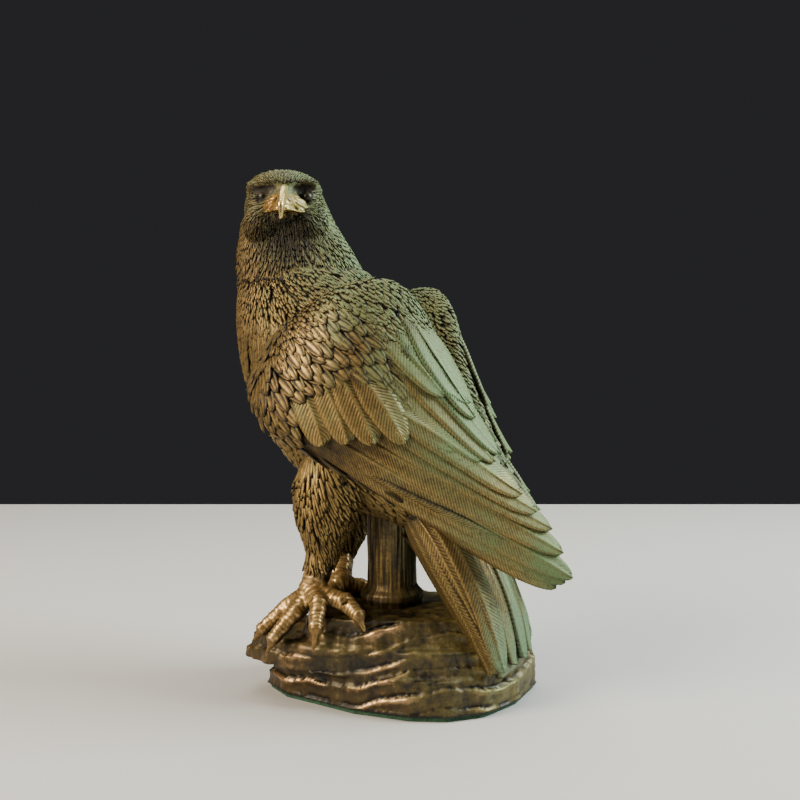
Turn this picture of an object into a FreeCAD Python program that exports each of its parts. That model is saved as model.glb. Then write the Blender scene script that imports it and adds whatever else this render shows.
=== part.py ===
"""Bronze eagle on a rock, cast in sections that are doweled, studded and screwed together.

World frame: +Z up, origin at the centre of the felt pad's underside, front of the statuette towards -Y.
The bird is laid out in its own frame, facing -X with its left side towards -Y, and is then turned
by the heading about a vertical axis over the rock.
"""

import FreeCAD
import Part
import math
import os

doc = FreeCAD.newDocument("EagleStatuette")
sheet = doc.addObject("Spreadsheet::Sheet", "Sizes")
Vector = FreeCAD.Vector

# Driving dimensions, in millimetres and degrees.
DRIVING = {
    "bird_x": -7.0,  # where the bird's own axis stands on the rock
    "bird_y": 4.0,
    "heading": 20.0,  # turn away from the front
    "wing_swing_x": 14.0,  # the right wing is carried a little lower at its tip
    "wing_swing_z": 60.0,
    "right_wing_pitch": 4.0,
    "half_room": 60.0,  # width of the room kept clear for the other wing
    "half_gap": 0.12,  # the wings' edges stop this far past the middle plane
    "wall": 2.0,  # thickness of the hollow castings
    "felt": 0.8,
    "plate": 1.5,
    "plate_gap": 0.1,
    "ceiling": 11.0,  # height of the flat ceiling inside the rock
    "stud_radius": 1.25,
    "nut_height": 2.0,
    "nut_flats": 5.0,
    "washer_radius": 3.0,
    "washer_height": 0.5,
    "rod_radius": 1.5,
    "boss_radius": 3.5,
    "dowel_radius": 0.8,
    "dowel_length": 5.0,
    "neck_pin_radius": 0.6,
    "neck_pin_start": 5.9,
    "neck_pin_length": 5.4,
    "collar_height": 6.0,
    "collar_wall": 1.0,
    "plug_radius": 1.6,
    "screw_radius": 0.8,
    "screw_head": 1.7,
    "screw_length": 6.0,
    "pillar_radius": 2.6,
    "stump_radius": 4.7,
    "stump_bore": 3.0,
    "stump_x": 5.0,
}

# Loft sections. Torso, neck and tail rows: x, z, tilt, half depth, half width.
TORSO = [
    (18.0, 35.0, 50, 6.5, 6.0),
    (10.5, 42.5, 46, 12.0, 11.0),
    (2.0, 51.0, 41, 16.5, 13.5),
    (-5.5, 61.0, 33, 18.0, 14.6),
    (-11.0, 71.0, 19, 16.6, 14.2),
    (-14.2, 80.0, 8, 13.6, 12.0),
]
NECK = [
    (-14.2, 80.0, 8, 13.6, 12.0),
    (-17.0, 87.5, 3, 10.8, 9.8),
    (-18.2, 94.0, 0, 9.0, 8.9),
    (-18.4, 99.0, 0, 7.9, 7.8),
]
TAIL = [
    (9.5, 40.0, 34, 4.0, 7.0),
    (17.0, 30.0, 32, 6.4, 9.5),
    (24.5, 18.0, 27, 5.4, 10.8),
    (29.5, 6.5, 18, 2.4, 10.2),
]
# Wing rows: x, distance from the bird's middle plane, z, turn in, droop, lean in, half chord, half thickness.
WING = [
    (-15.5, 9.5, 67.5, 25, 36, 6, 6.0, 2.6),
    (-11.5, 13.4, 66.3, 16, 36, 9, 10.8, 4.2),
    (-1.6, 15.2, 65.4, 2, 36, 13, 17.2, 5.2),
    (9.0, 12.0, 56.0, -10, 37, 17, 15.0, 5.0),
    (19.4, 8.8, 44.4, -16, 39, 19, 9.6, 3.8),
    (28.3, 6.0, 35.0, -15, 40, 20, 6.3, 2.4),
    (35.8, 4.4, 28.0, -12, 42, 20, 4.0, 1.5),
    (39.8, 3.6, 23.8, -10, 42, 20, 1.4, 0.8),
]
# Thigh rows: x, y, z, tilt, half depth, half width.
LEFT_THIGH = [
    (-1.5, -7.0, 48.0, 20, 9.0, 6.0),
    (-3.6, -8.2, 41.0, 14, 8.0, 5.6),
    (-4.8, -9.4, 34.0, 8, 5.6, 4.6),
    (-5.4, -10.0, 27.5, 4, 2.9, 2.6),
]
RIGHT_THIGH = [
    (-3.0, 7.0, 46.0, 20, 8.0, 6.0),
    (-6.0, 6.8, 38.5, 14, 7.0, 5.4),
    (-8.2, 6.5, 30.0, 8, 5.6, 4.6),
    (-9.0, 6.2, 23.5, 4, 2.9, 2.6),
]
# Feet in the world frame: ankle, then for each toe its knuckle, its end and its claw's point.
LEFT_ANKLE = (-17.6, -4.4, 20.0)
LEFT_TOES = {
    "outer": ((-22.2, -4.4, 17.0), (-26.8, -5.6, 13.2), (-28.6, -6.4, 11.0)),
    "middle": ((-20.4, -7.4, 16.8), (-24.2, -9.8, 12.6), (-25.4, -10.8, 9.8)),
    "inner": ((-15.8, -9.6, 19.0), (-16.0, -13.6, 15.6), (-16.4, -14.8, 11.4)),
    "rear": ((-10.8, -9.2, 19.0), (-8.4, -12.2, 17.4), (-7.0, -13.4, 14.6)),
}
RIGHT_ANKLE = (-13.0, 6.4, 18.6)
RIGHT_TOES = {
    "outer": ((-16.6, 9.2, 17.6), (-19.4, 11.0, 14.0), (-20.2, 11.6, 11.4)),
    "middle": ((-17.8, 5.6, 17.4), (-21.0, 5.0, 13.6), (-21.8, 4.8, 11.2)),
    "inner": ((-15.8, 2.8, 17.8), (-18.8, 0.6, 16.0), (-20.0, 0.0, 13.4)),
    "rear": ((-8.8, 7.6, 18.0), (-6.0, 8.2, 17.4), (-4.4, 8.6, 15.6)),
}
TOE_RADII = (2.1, 1.7, 1.25, 0.25)  # ankle, knuckle, toe end, claw point
# Rock ledges, bottom first: outlines as x, y corners anticlockwise from the left end.
LOWER_LEDGE = [
    (-27.0, 0.0), (-23.0, -6.0), (-17.5, -9.5), (-9.5, -14.8), (1.0, -18.6), (8.0, -19.0),
    (15.0, -16.6), (21.5, -10.0), (26.4, -0.5), (25.0, 9.0), (18.0, 16.0), (7.0, 19.0),
    (-5.0, 18.6), (-16.0, 15.2), (-24.0, 8.6),
]
MIDDLE_LEDGE = [
    (-31.0, -1.5), (-25.5, -7.0), (-17.5, -12.6), (-9.0, -14.4), (1.0, -16.4), (8.5, -17.2),
    (15.5, -15.0), (21.5, -9.4), (25.2, -0.5), (23.6, 8.6), (17.0, 14.8), (7.0, 18.0),
    (-5.0, 17.8), (-16.5, 15.0), (-26.0, 7.6),
]
UPPER_LEDGE = [
    (-19.4, -1.0), (-19.0, -6.4), (-15.5, -11.4), (-8.5, -13.4), (1.0, -14.4), (8.5, -14.2),
    (14.5, -12.6), (19.5, -7.6), (21.0, -0.5), (19.4, 5.6), (14.5, 9.6), (6.5, 12.0),
    (-5.0, 13.0), (-15.0, 13.0), (-19.4, 7.0),
]
LEDGES = [  # outline, bottom height, top height, shrink of the top outline
    (LOWER_LEDGE, 0.8, 7.0, 0.955),
    (MIDDLE_LEDGE, 6.6, 11.6, 0.95),
    (UPPER_LEDGE, 11.2, 16.4, 0.90),
]
PLATE_SHRINK = 0.885  # of the lower ledge, for the opening under the rock
CEILING_SHRINK = 0.80
FELT_SHRINK = 0.965
PILLARS = [(-17.0, 3.0), (-3.0, -10.0), (15.5, -4.5), (10.0, 11.0)]


def fill_sheet():
    """Writes every size to the spreadsheet under its own alias."""
    cells = dict(DRIVING)
    columns = {
        "torso": (TORSO, "x z tilt deep wide"),
        "neck": (NECK, "x z tilt deep wide"),
        "tail": (TAIL, "x z tilt deep wide"),
        "wing": (WING, "x out z turn droop lean chord thick"),
        "left_thigh": (LEFT_THIGH, "x y z tilt deep wide"),
        "right_thigh": (RIGHT_THIGH, "x y z tilt deep wide"),
    }
    for piece, (rows, names) in columns.items():
        for number, row in enumerate(rows):
            for name, value in zip(names.split(), row):
                cells[f"{piece}_{number}_{name}"] = value
    for line, (alias, value) in enumerate(cells.items(), start=1):
        sheet.set(f"A{line}", alias)
        sheet.set(f"B{line}", str(value))
        sheet.setAlias(f"B{line}", alias)
    doc.recompute()


def size(alias):
    return float(sheet.get(alias))


BIRD = "placement(vector(Sizes.bird_x; Sizes.bird_y; 0); rotation(vector(0; 0; 1); -Sizes.heading))"


def spot(x, y, z, turn="0; 0; 0"):
    """An expression for a place: three coordinates, then yaw, pitch and roll."""
    return f"placement(vector({x}; {y}; {z}); rotation({turn}))"


def add(kind, name, place=None, **sizes):
    """One document object whose sizes, and place if given, are bound to expressions."""
    made = doc.addObject(kind, name)
    for key, value in sizes.items():
        made.setExpression(key, str(value))
    if place is not None:
        made.setExpression("Placement", place)
    return made


def cut(name, base, *tools):
    """Base with each tool taken away."""
    for number, tool in enumerate(tools):
        made = doc.addObject("Part::Cut", f"{name}_cut{number}")
        made.Base = base
        made.Tool = tool
        base = made
    return base


def fuse(name, *parts):
    made = doc.addObject("Part::MultiFuse", name)
    made.Shapes = list(parts)
    return made


def common(name, base, tool):
    made = doc.addObject("Part::Common", name)
    made.Base = base
    made.Tool = tool
    return made


def loft(name, sections, ruled=False):
    made = doc.addObject("Part::Loft", name)
    made.Sections = sections
    made.Solid = True
    made.Ruled = ruled
    return made


def upright_sections(piece, rows, thinner="0", first=0):
    """Ellipses that lean back by their tilt, for the torso and the neck."""
    made = []
    for n in range(first, len(rows)):
        cell = f"Sizes.{piece}_{n}_"
        place = BIRD + " * " + spot(cell + "x", 0, cell + "z", f"0; -{cell}tilt; 0")
        made.append(
            add("Part::Ellipse", f"{piece}_section", place,
                MajorRadius=f"{cell}deep - {thinner}", MinorRadius=f"{cell}wide - {thinner}")
        )
    return made


def thigh_sections(piece, rows):
    made = []
    for n in range(len(rows)):
        cell = f"Sizes.{piece}_{n}_"
        place = BIRD + " * " + spot(cell + "x", cell + "y", cell + "z", f"0; -{cell}tilt; 0")
        made.append(
            add("Part::Ellipse", f"{piece}_section", place,
                MajorRadius=cell + "deep", MinorRadius=cell + "wide")
        )
    return made


def tail_sections():
    """Wide flat ellipses square to the tail's slope."""
    made = []
    for n in range(len(TAIL)):
        cell = f"Sizes.tail_{n}_"
        place = BIRD + " * " + spot(cell + "x", 0, cell + "z", f"90; 0; -{cell}tilt")
        made.append(
            add("Part::Ellipse", "tail_section", place,
                MajorRadius=cell + "wide", MinorRadius=cell + "deep")
        )
    return made


def wing_sections(pitch):
    """Thin ellipses square to the length of a folded left wing, from its tip to its shoulder.

    The pitch swings the whole wing, tip down, about a cross axis through its middle.
    """
    swing = (spot("Sizes.wing_swing_x", 0, "Sizes.wing_swing_z", f"0; {pitch}; 0")
             + " * " + spot("-Sizes.wing_swing_x", 0, "-Sizes.wing_swing_z"))
    upend = spot(0, 0, 0, "0; -90; 180")
    made = []
    for n in reversed(range(len(WING))):
        cell = f"Sizes.wing_{n}_"
        turn = f"-{cell}turn; {cell}droop; -{cell}lean"
        place = " * ".join((BIRD, swing, spot(cell + "x", f"-{cell}out", cell + "z", turn), upend))
        made.append(
            add("Part::Ellipse", "wing_section", place,
                MajorRadius=cell + "chord", MinorRadius=cell + "thick")
        )
    return made


def mirrored(name, source):
    """The same piece for the other side of the bird's middle plane."""
    made = doc.addObject("Part::Mirroring", name)
    made.Source = source
    for key, value in (("Base.x", "Sizes.bird_x"), ("Base.y", "Sizes.bird_y"),
                       ("Normal.x", "sin(Sizes.heading)"), ("Normal.y", "cos(Sizes.heading)"), ("Normal.z", "0")):
        made.setExpression(key, value)
    return made


def aim(start, end):
    """Yaw, pitch and roll that point +Z from start to end, and the distance."""
    d = Vector(*end) - Vector(*start)
    yaw = math.degrees(math.atan2(d.y, d.x))
    pitch = math.degrees(math.acos(d.z / d.Length))
    return f"{yaw}; {pitch}; 0", d.Length


def tapered(name, start, end, radius, end_radius):
    """A cone between two points of the world frame."""
    turn, length = aim(start, end)
    return add("Part::Cone", name, spot(*start, turn), Radius1=radius, Radius2=end_radius, Height=length)


def ball(name, at, radius):
    return add("Part::Sphere", name, spot(*at), Radius=radius)


def bird_point(x, y, z):
    """A point of the bird's frame in the world frame."""
    turn = -math.radians(size("heading"))
    return (
        size("bird_x") + x * math.cos(turn) - y * math.sin(turn),
        size("bird_y") + x * math.sin(turn) + y * math.cos(turn),
        z,
    )


def foot(name, ankle, toes):
    """The bare shank's ankle, four toes with one knuckle each, and their claws."""
    thick, knuckle, tip, point = TOE_RADII
    made = [ball(f"{name}_ankle", ankle, thick + 0.7)]
    for toe, (joint, end, claw) in toes.items():
        made += [
            tapered(f"{name}_{toe}_root", ankle, joint, thick, knuckle),
            ball(f"{name}_{toe}_knuckle", joint, knuckle + 0.15),
            tapered(f"{name}_{toe}_toe", joint, end, knuckle, tip),
            ball(f"{name}_{toe}_pad", end, tip + 0.15),
            tapered(f"{name}_{toe}_claw", end, claw, tip * 0.8, point),
        ]
    return made


def outline(name, points, height, shrink=1.0):
    made = doc.addObject("Part::Polygon", name)
    made.Nodes = [Vector(x * shrink, y * shrink, height) for x, y in points]
    made.Close = True
    return made


def slab(name, points, low, high, low_shrink=1.0, high_shrink=1.0):
    """A solid between two outlines of the same corners."""
    bottom = outline(name + "_low", points, low, low_shrink)
    top = outline(name + "_high", points, high, high_shrink)
    return loft(name, [bottom, top], ruled=True)


def upright_cylinder(name, x, y, low, radius, height):
    return add("Part::Cylinder", name, spot(x, y, low), Radius=radius, Height=height)


def nut(name, x, y, top):
    """A hexagon blank for a nut, with its top at a height."""
    prism = doc.addObject("Part::Prism", name + "_blank")
    prism.Polygon = 6
    prism.setExpression("Circumradius", "Sizes.nut_flats / sqrt(3)")
    prism.setExpression("Height", "Sizes.nut_height")
    prism.setExpression("Placement", spot(x, y, f"{top} - Sizes.nut_height"))
    return prism


def washer(name, x, y, top, hole):
    disc = upright_cylinder(name + "_disc", x, y, f"{top} - Sizes.washer_height",
                            "Sizes.washer_radius", "Sizes.washer_height")
    return cut(name, disc, hole)


def dowels(name, places):
    """Round dowels across a joint, each from a point of the bird's frame along a direction."""
    made = []
    for number, (start, towards) in enumerate(places):
        a, b = bird_point(*start), bird_point(*towards)
        turn, _ = aim(a, b)
        made.append(add("Part::Cylinder", f"{name}{number}", spot(*a, turn),
                        Radius="Sizes.dowel_radius", Height="Sizes.dowel_length"))
    return made


fill_sheet()
nodes = {}

# Outer forms of the castings, before they are fitted to each other.
torso_form = loft("torso_form", upright_sections("torso", TORSO))
tail_form = loft("tail_form", tail_sections())
rock_form = fuse("rock_form", *[slab(f"ledge{n}", pts, low, high, 1.0, shrink)
                                for n, (pts, low, high, shrink) in enumerate(LEDGES)])
wing_forms = {
    "left": loft("left_wing_form", wing_sections("0")),
    "right": mirrored("right_wing_form", loft("right_wing_twin", wing_sections("Sizes.right_wing_pitch"))),
}

# Torso: a hollow casting, closed at the rump and open at the neck, with a tapped boss over the stump.
torso_core = loft("torso_core", upright_sections("torso", TORSO, "Sizes.wall", 1))
stump_at = bird_point(size("stump_x"), 0, 0)
boss_post = upright_cylinder("boss_post", stump_at[0], stump_at[1], 30, "Sizes.boss_radius", 16)
torso_boss = common("torso_boss", torso_form, boss_post)
torso_blank = fuse("torso_blank", cut("torso_hollow", torso_form, torso_core), torso_boss)
rod = upright_cylinder("tie_rod_solid", stump_at[0], stump_at[1], 6.5, "Sizes.rod_radius", 36)

wing_dowels = {}
for side, sign in (("left", -1), ("right", 1)):
    wing_dowels[side] = dowels(f"{side}_wing_dowel", [
        ((-8.0, sign * 11.0, 64.0), (-8.0, sign * 20.0, 64.0)),
        ((6.0, sign * 8.8, 51.0), (6.0, sign * 20.0, 51.0)),
    ])
tail_dowels = dowels("tail_dowel", [((14.0, -2.6, 38.2), (20.0, -2.6, 29.6)),
                                    ((14.0, 2.6, 38.2), (20.0, 2.6, 29.6))])
thigh_dowels = {
    "left": dowels("left_thigh_dowel", [((-3.0, -6.0, 47.6), (-3.4, -7.0, 38.0))]),
    "right": dowels("right_thigh_dowel", [((-4.4, 6.0, 46.4), (-5.0, 6.6, 37.0))]),
}
plug_places = [((-5.0, 0.0, 61.0), (-30.0, 0.0, 44.0)), ((2.0, 0.0, 51.0), (20.0, 0.0, 70.0))]
plug_posts = []
for number, (start, towards) in enumerate(plug_places):
    a, b = bird_point(*start), bird_point(*towards)
    turn, length = aim(a, b)
    plug_posts.append(add("Part::Cylinder", f"plug_post{number}", spot(*a, turn),
                          Radius="Sizes.plug_radius", Height=length))
plugs = [common(f"core_plug{number}", torso_blank, post) for number, post in enumerate(plug_posts)]
all_dowels = [*wing_dowels["left"], *wing_dowels["right"], *tail_dowels,
              *thigh_dowels["left"], *thigh_dowels["right"]]

# Neck collar: a sleeve inside both castings, held by three radial pins.
neck_joint = BIRD + " * " + spot("Sizes.neck_0_x", 0, "Sizes.neck_0_z", "0; -Sizes.neck_0_tilt; 0")


def collar_form(name, gap):
    """An elliptical drum across the neck joint, narrower than the neck by a gap all round."""
    rings = []
    for end in ("-", ""):
        rings.append(add("Part::Ellipse", name, neck_joint + " * " + spot(0, 0, end + "Sizes.collar_height / 2"),
                         MajorRadius=f"Sizes.neck_0_deep - ({gap})", MinorRadius=f"Sizes.neck_0_wide - ({gap})"))
    return loft(name + "_form", rings, ruled=True)


collar_outside = collar_form("collar_outside", "Sizes.wall + 2.4")
collar_inside = collar_form("collar_inside", "Sizes.wall + 2.4 + Sizes.collar_wall")
neck_pins = []
for number, angle in enumerate((90, 210, 330)):
    place = neck_joint + " * " + spot(0, 0, 1.6, f"{angle}; 90; 0") + " * " + spot(0, 0, "Sizes.neck_pin_start")
    neck_pins.append(add("Part::Cylinder", f"neck_pin{number}", place,
                         Radius="Sizes.neck_pin_radius", Height="Sizes.neck_pin_length"))

# Head: neck, skull and hooked beak in one hollow casting, turned to look over the left shoulder.
neck_form = loft("neck_form", upright_sections("neck", NECK))
skull = add("Part::Ellipsoid", "skull", spot(-23.4, 8.6, 94.7, "4; 0; 0"), Radius1=8.1, Radius2=8.5, Radius3=10.0,
            Angle1=-90, Angle2=90, Angle3=360)
beak = tapered("beak", (-22.5, 0.8, 94.8), (-22.4, -5.6, 92.8), 3.9, 1.6)
beak_hook = tapered("beak_hook", (-22.4, -5.2, 93.0), (-22.4, -6.8, 89.2), 1.7, 0.3)
beak_ball = ball("beak_ball", (-22.4, -5.3, 93.0), 1.7)
head_form = fuse("head_form", neck_form, skull, beak, beak_hook, beak_ball)
neck_core = loft("neck_core", upright_sections("neck", NECK, "Sizes.wall + 0.6")[:3])
head_blank = cut("head_hollow", head_form, neck_core)

nodes["torso"] = cut("torso", torso_blank, rod, *plug_posts, *all_dowels)
nodes["head"] = cut("head", head_blank, *neck_pins)
nodes["neck_collar"] = cut("neck_collar", collar_outside, collar_inside, *neck_pins)

# Wings: each bedded against the torso and the tail, and kept to its own side.
for side, inner_edge in (("left", "-Sizes.half_gap"), ("right", "Sizes.half_gap - Sizes.half_room")):
    other_half = add("Part::Box", f"{side}_other_half", BIRD + " * " + spot(-40, inner_edge, 0),
                     Length=100, Width="Sizes.half_room", Height=110)
    nodes[f"{side}_wing"] = cut(f"{side}_wing", wing_forms[side], other_half, torso_form, tail_form,
                                *wing_dowels[side])

# Legs: feathered thigh, bare shank and foot in one casting each.
for side, rows, ankle, toes in (("left", LEFT_THIGH, LEFT_ANKLE, LEFT_TOES),
                                ("right", RIGHT_THIGH, RIGHT_ANKLE, RIGHT_TOES)):
    thigh = loft(f"{side}_thigh_form", thigh_sections(f"{side}_thigh", rows))
    knee = bird_point(*rows[-1][:3])
    shank = tapered(f"{side}_shank", knee, ankle, 2.9, 2.4)
    leg_form = fuse(f"{side}_leg_form", thigh, ball(f"{side}_heel", knee, 2.95), shank, *foot(side, ankle, toes))
    stud = upright_cylinder(f"{side}_stud_solid", ankle[0] + 0.6, ankle[1],
                            "Sizes.ceiling - 4", "Sizes.stud_radius", 12)
    nodes[f"{side}_leg"] = cut(f"{side}_leg", leg_form, torso_form, rock_form, wing_forms[side],
                               *thigh_dowels[side], stud)
    nodes[f"{side}_foot_stud"] = stud
    nodes[f"{side}_foot_washer"] = washer(f"{side}_foot_washer", ankle[0] + 0.6, ankle[1], "Sizes.ceiling", stud)
    nodes[f"{side}_foot_nut"] = cut(
        f"{side}_foot_nut",
        nut(f"{side}_foot_nut", ankle[0] + 0.6, ankle[1], "Sizes.ceiling - Sizes.washer_height"), stud)

# Tail: a solid fan bedded against the rump and the right end of the rock, pinned at its foot.
tail_pin = dowels("tail_foot_pin", [((30.4, 0.0, 9.0), (28.6, 0.0, 1.0))])
nodes["tail"] = cut("tail", tail_form, torso_form, rock_form, *tail_dowels, *tail_pin)

# Stump: a bored support between the legs, clamped by the tie rod.
stump_low = 12.0
stump_body = upright_cylinder("stump_body", stump_at[0], stump_at[1], stump_low, "Sizes.stump_radius", 30)
stump_foot = add("Part::Cone", "stump_foot", spot(stump_at[0], stump_at[1], stump_low),
                 Radius1="Sizes.stump_radius + 1.9", Radius2="Sizes.stump_radius - 0.2", Height=7)
stump_bore = upright_cylinder("stump_bore", stump_at[0], stump_at[1], 0, "Sizes.stump_bore / 2 + 0.2", 50)
nodes["stump"] = cut("stump", fuse("stump_form", stump_body, stump_foot), torso_form, tail_form, rock_form,
                     nodes["left_leg"], nodes["right_leg"], stump_bore)
nodes["tie_rod"] = rod
nodes["tie_rod_washer"] = washer("tie_rod_washer", stump_at[0], stump_at[1], "Sizes.ceiling", rod)
nodes["tie_rod_nut"] = cut(
    "tie_rod_nut", nut("tie_rod_nut", stump_at[0], stump_at[1], "Sizes.ceiling - Sizes.washer_height"), rod)

# Rock: a hollow casting, open underneath, with four pillars for the plate's screws.
rim = size("felt")
plate_top = rim + size("plate")
opening = slab("rock_opening", LOWER_LEDGE, rim - 0.5, plate_top, PLATE_SHRINK, PLATE_SHRINK)
cavity = slab("rock_cavity", LOWER_LEDGE, plate_top, size("ceiling"), PLATE_SHRINK - 0.03, CEILING_SHRINK)
screws, screw_holes, pillars = [], [], []
for number, (x, y) in enumerate(PILLARS):
    pillars.append(upright_cylinder(f"pillar{number}", x, y, plate_top, "Sizes.pillar_radius", 11 - plate_top))
    shank = upright_cylinder(f"screw_shank{number}", x, y, rim, "Sizes.screw_radius", "Sizes.screw_length")
    head = add("Part::Cone", f"screw_head{number}", spot(x, y, rim), Radius1="Sizes.screw_head",
               Radius2="Sizes.screw_radius", Height="Sizes.screw_head - Sizes.screw_radius")
    whole = fuse(f"screw_form{number}", shank, head)
    slot = add("Part::Box", f"screw_slot{number}", spot(x - 2, y - 0.2, rim - 0.1),
               Length=4, Width=0.4, Height=0.5)
    screws.append(cut(f"screw{number}", whole, slot))
    screw_holes.append(whole)
rock_shell = cut("rock_shell", rock_form, opening, cavity)
rock_blank = fuse("rock_blank", rock_shell, common("rock_pillars", rock_form, fuse("pillars", *pillars)))
rod_hole = upright_cylinder("rod_hole", stump_at[0], stump_at[1], 0, "Sizes.rod_radius + 0.1", 30)
nut_rooms = [upright_cylinder("nut_room", x, y, 5, "Sizes.washer_radius + 0.3", "Sizes.ceiling - 5")
             for x, y in ((LEFT_ANKLE[0] + 0.6, LEFT_ANKLE[1]), (RIGHT_ANKLE[0] + 0.6, RIGHT_ANKLE[1]))]
nodes["rock_base"] = cut("rock_base", rock_blank, *screw_holes, *nut_rooms, nodes["left_foot_stud"],
                         nodes["right_foot_stud"], rod_hole, *tail_pin)
plate_form = slab("plate_form", LOWER_LEDGE, rim, plate_top, PLATE_SHRINK - 0.008, PLATE_SHRINK - 0.008)
nodes["base_plate"] = cut("base_plate", plate_form, *screw_holes)
nodes["felt_pad"] = slab("felt_pad", LOWER_LEDGE, 0.0, rim, FELT_SHRINK, FELT_SHRINK)

groups = {
    "base_plate_screws": screws,
    "left_wing_dowels": wing_dowels["left"],
    "right_wing_dowels": wing_dowels["right"],
    "tail_dowels": tail_dowels,
    "left_thigh_dowel": thigh_dowels["left"],
    "right_thigh_dowel": thigh_dowels["right"],
    "tail_foot_pin": tail_pin,
    "neck_pins": neck_pins,
    "core_plugs": plugs,
}
for name, members in groups.items():
    if len(members) == 1:
        nodes[name] = members[0]
    else:
        made = doc.addObject("Part::Compound", name)
        made.Links = members
        nodes[name] = made

doc.recompute()

bad = [o.Name for o in doc.Objects if "Invalid" in o.State or "Error" in o.State]
if bad:
    raise SystemExit(f"these objects failed: {bad}")
os.makedirs("parts", exist_ok=True)
for name, node in nodes.items():
    node.Label = name
    shape = node.Shape
    if shape.isNull() or not shape.isValid() or not shape.Solids:
        raise SystemExit(f"{name} has no valid solid")
    print(f"{name}: {len(shape.Solids)} solids, {shape.Volume:.1f} mm3")
    shape.exportStep(f"parts/{name}.step")
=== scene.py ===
# An eagle statuette in patinated bronze: cast body, wings, tail, head and legs on a cast rock.
import math
import random

import bmesh
import bpy
import numpy as np
from mathutils import Euler, Matrix, Vector, noise
from mathutils.bvhtree import BVHTree


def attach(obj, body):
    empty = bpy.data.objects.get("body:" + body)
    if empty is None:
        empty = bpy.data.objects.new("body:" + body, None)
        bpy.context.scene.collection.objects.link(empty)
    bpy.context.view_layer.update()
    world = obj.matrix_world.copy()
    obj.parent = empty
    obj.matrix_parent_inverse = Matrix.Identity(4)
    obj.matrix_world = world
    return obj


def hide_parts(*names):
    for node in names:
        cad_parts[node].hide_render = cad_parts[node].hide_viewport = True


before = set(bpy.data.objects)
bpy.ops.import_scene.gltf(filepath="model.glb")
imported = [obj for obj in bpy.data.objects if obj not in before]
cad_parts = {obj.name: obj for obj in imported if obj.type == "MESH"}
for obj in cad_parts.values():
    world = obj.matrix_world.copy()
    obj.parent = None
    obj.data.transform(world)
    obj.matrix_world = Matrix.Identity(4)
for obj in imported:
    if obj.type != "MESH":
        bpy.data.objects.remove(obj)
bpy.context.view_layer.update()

# --- Camera ---------------------------------------------------------------------------------
# Level with the middle of the bird and straight in front of the rock, a hand's length away.
MM = 0.001
CAMERA_AT = Vector((-0.7, -176.0, 61.5)) * MM
CAMERA_DIP = 1.6
camera_data = bpy.data.cameras.new("camera")
camera_data.sensor_width = 36.0
camera_data.lens = 40.5
camera_data.clip_start = 0.01
camera = bpy.data.objects.new("camera", camera_data)
camera.location = CAMERA_AT
camera.rotation_euler = (math.radians(90.0 - CAMERA_DIP), 0.0, 0.0)
bpy.context.scene.collection.objects.link(camera)
bpy.context.scene.camera = camera

# --- Light and floor ------------------------------------------------------------------------
# Two large soft boxes beside the bird, the left one warm and the right one slightly cool, and a broad
# one overhead, on a pale matt floor that ends just behind the rock.
FLOOR_HALF = 2.0
FLOOR_BACK = 0.25


def soft_box(name, place, aim, size, power, tint):
    """A square soft light at place, turned to aim."""
    data = bpy.data.lights.new(name, "AREA")
    data.size = size
    data.energy = power
    data.color = tint
    lamp = bpy.data.objects.new(name, data)
    lamp.location = Vector(place)
    lamp.rotation_euler = (Vector(aim) - Vector(place)).to_track_quat("-Z", "Y").to_euler()
    bpy.context.scene.collection.objects.link(lamp)


soft_box("left_box", (-0.38, -0.22, 0.30), (0, 0, 0.05), 0.30, 4.8, (1.0, 0.86, 0.66))
soft_box("right_box", (0.42, -0.02, 0.30), (0, 0, 0.06), 0.26, 5.8, (0.88, 0.97, 0.94))
soft_box("top_box", (0.0, 0.10, 0.55), (0, 0, 0.05), 0.50, 3.4, (1.0, 1.0, 0.94))

world = bpy.data.worlds.new("studio")
world.use_nodes = True
backdrop = world.node_tree.nodes["Background"]
backdrop.inputs["Color"].default_value = (0.036, 0.036, 0.039, 1.0)
backdrop.inputs["Strength"].default_value = 0.6
bpy.context.scene.world = world

floor_bm = bmesh.new()
bmesh.ops.create_grid(floor_bm, x_segments=1, y_segments=1, size=FLOOR_HALF)
bmesh.ops.translate(floor_bm, vec=(0.0, FLOOR_BACK - FLOOR_HALF, 0.0), verts=floor_bm.verts)
floor_mesh = bpy.data.meshes.new("floor")
floor_bm.to_mesh(floor_mesh)
floor_bm.free()
floor = bpy.data.objects.new("floor", floor_mesh)
bpy.context.scene.collection.objects.link(floor)
floor_paint = bpy.data.materials.new("pale_floor")
floor_paint.use_nodes = True
floor_shader = floor_paint.node_tree.nodes["Principled BSDF"]
floor_shader.inputs["Base Color"].default_value = (0.44, 0.43, 0.42, 1.0)
floor_shader.inputs["Roughness"].default_value = 0.9
floor_mesh.materials.append(floor_paint)

# --- Torso casting --------------------------------------------------------------------------
# The hollow bronze body between neck and rump, with two plugs where the core's supports were. Its
# own skin is smooth and nearly hidden under small cast feathers with raised shafts and lifted tips.
BIRD = Matrix.Translation((-7.0, 4.0, 0.0)) @ Matrix.Rotation(math.radians(-20.0), 4, "Z")
BIRD_BACK = BIRD.inverted()
GRAIN_SCALE, SPECK_SCALE, DRIFT_SCALE = 900.0, 2600.0, 70.0
PIT_DEPTH = 0.00012
MERGE_WITHIN = 0.002
SEARCH_CELL = 3.0
STRAY_TURN = 0.22
ROOT_SHARE = 0.45
FEATHER_RISE = 0.8
NECK_LINE, BELLY_LINE = 82.0, 38.0
FINEST, BROADEST = 0.90, 3.0
SCALES_BELOW, LEAVES_ABOVE = 1.5, 1.35


def bird(x, y, z):
    """A point of the bird's own frame, which faces -X, in millimetres of the world frame."""
    return BIRD @ Vector((x, y, z))


def mix(a, b, amount):
    """From a at 0 to b at 1."""
    return a + (b - a) * amount


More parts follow.
